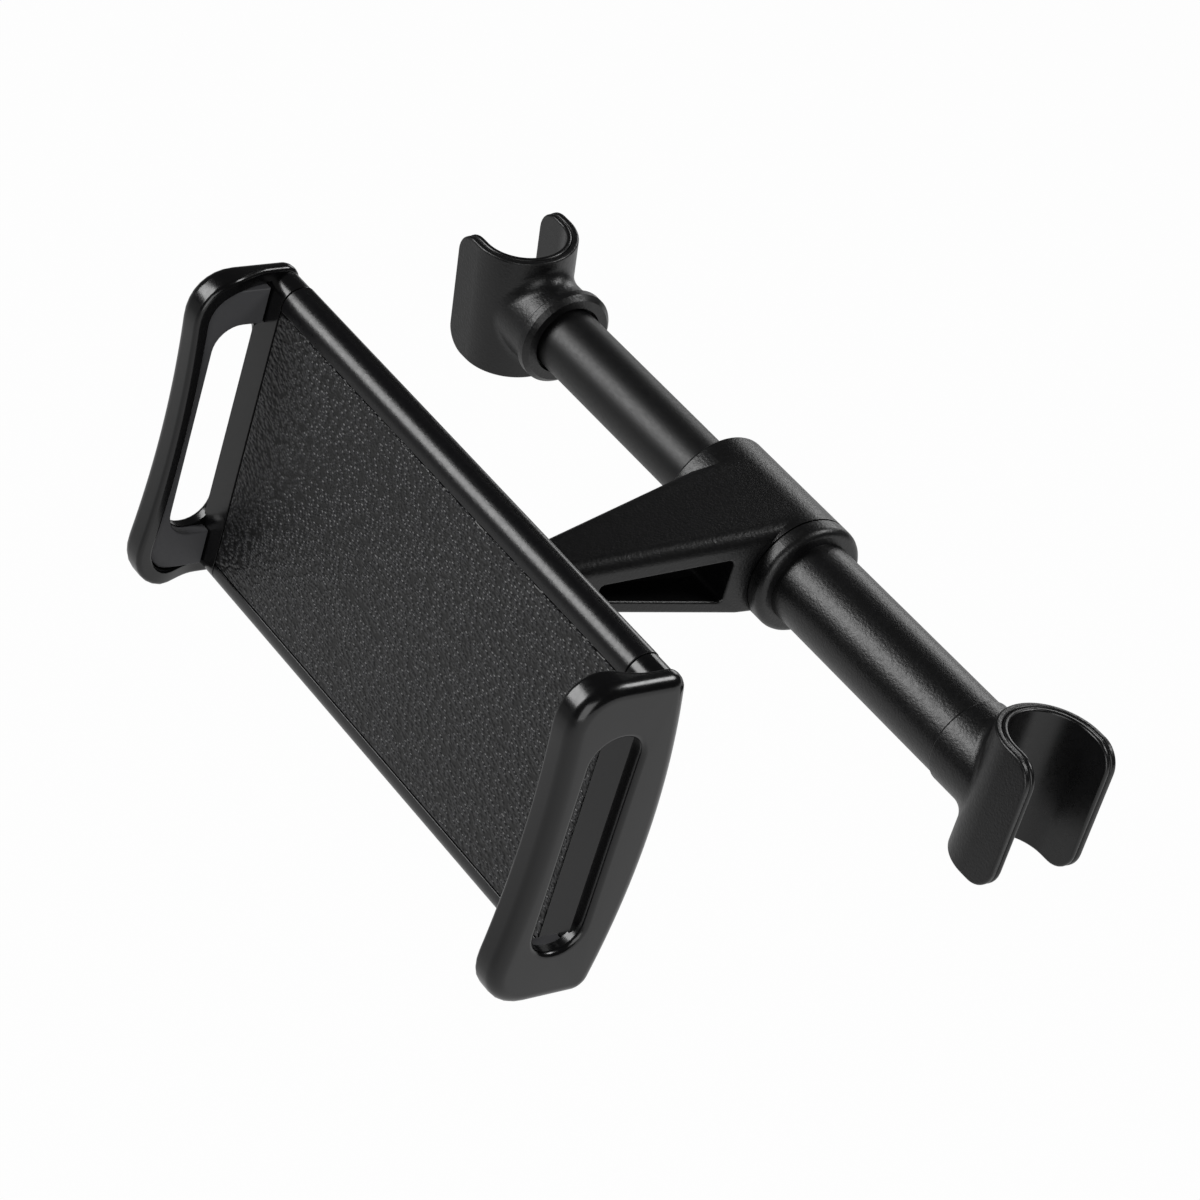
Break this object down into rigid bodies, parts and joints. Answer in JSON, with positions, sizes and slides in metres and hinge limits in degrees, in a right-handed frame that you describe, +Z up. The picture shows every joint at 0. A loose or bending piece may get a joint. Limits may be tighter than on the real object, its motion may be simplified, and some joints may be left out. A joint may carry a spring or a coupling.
{
  "type": "rear seat phone mount",
  "caption": "Headrest mount for a phone or tablet: sprung telescopic rod with post clips, tapered arm, ball joint and a cradle with sliding jaws.",
  "frame": {"origin": "on the axis of the right post clip's channel, at the height of the rod's axis", "axes": "+X along the rod towards the right clip, +Z up along the headrest posts, -Y towards the viewer of the screen"},
  "size_m": [0.1678, 0.0994, 0.063],
  "materials": {
    "clip_shell": "black ABS, fine spark texture",
    "liner": "black soft lining",
    "tube": "black, fine spark texture",
    "slider_tube": "black, smooth satin",
    "arm": "black ABS, fine spark texture",
    "bearing": "natural nylon",
    "steel": "zinc plated",
    "spring": "drawn spring wire",
    "ball": "black nylon, satin",
    "nut": "black ABS, satin",
    "cradle": "black ABS, satin",
    "front_pad": "black embossed leather grain",
    "jaw": "black ABS, semi-gloss",
    "jaw_pad": "charcoal, matte"
  },
  "bodies": {
    "rod": {"outer_tube": "tube", "right_clip": "clip_shell", "right_clip_liner": "liner", "right_clip_screw": "steel", "guide_bush": "bearing", "barrel_ring": "arm", "rod_spring": "spring"},
    "slide_ring": {"slide_ring": "bearing"},
    "left_clip": {"inner_tube": "slider_tube", "left_clip": "clip_shell", "left_clip_liner": "liner", "left_clip_screw": "steel"},
    "arm": {"arm": "arm", "ball_stud": "ball"},
    "ball_seat": {"ball_seat": "bearing"},
    "ring_nut": {"ring_nut": "nut"},
    "cradle": {"front_shell": "cradle", "front_pad": "front_pad", "rear_cover": "cradle", "shell_screws": "steel", "left_jaw_spring": "spring", "right_jaw_spring": "spring"},
    "left_jaw": {"left_jaw": "jaw", "left_jaw_pad": "jaw_pad"},
    "right_jaw": {"right_jaw": "jaw", "right_jaw_pad": "jaw_pad"}
  },
  "joints": [
    {"name": "rod_slide", "type": "slide", "parent": "rod", "child": "slide_ring", "axis": [-1, 0, 0], "range_m": [-0.03, 0], "stiffness_N_per_m": 250, "springref_m": 0.02, "deforming": ["rod_spring"]},
    {"name": "rod_turn", "type": "hinge", "parent": "slide_ring", "child": "left_clip", "pos_m": [-0.1554, 0, 0], "axis": [1, 0, 0], "continuous": true},
    {"name": "arm_turn", "type": "hinge", "parent": "rod", "child": "arm", "pos_m": [-0.0764, 0, 0], "axis": [1, 0, 0], "continuous": true},
    {"name": "ball_pan", "type": "hinge", "parent": "arm", "child": "ball_seat", "pos_m": [-0.0764, -0.0555, -0.0016], "axis": [0, 0, 1], "range_deg": [-18, 18]},
    {"name": "ball_tilt", "type": "hinge", "parent": "ball_seat", "child": "ring_nut", "pos_m": [-0.0764, -0.0555, -0.0016], "axis": [1, 0, 0], "range_deg": [-18, 18]},
    {"name": "cradle_roll", "type": "hinge", "parent": "ring_nut", "child": "cradle", "pos_m": [-0.0764, -0.0555, -0.0016], "axis": [0, 1, 0], "continuous": true},
    {"name": "left_jaw_slide", "type": "slide", "parent": "cradle", "child": "left_jaw", "axis": [-1, 0, 0], "range_m": [0, 0.04], "stiffness_N_per_m": 150, "springref_m": -0.02, "deforming": ["left_jaw_spring"]},
    {"name": "right_jaw_slide", "type": "slide", "parent": "cradle", "child": "right_jaw", "axis": [1, 0, 0], "range_m": [0, 0.04], "stiffness_N_per_m": 150, "springref_m": -0.02, "deforming": ["right_jaw_spring"]}
  ]
}
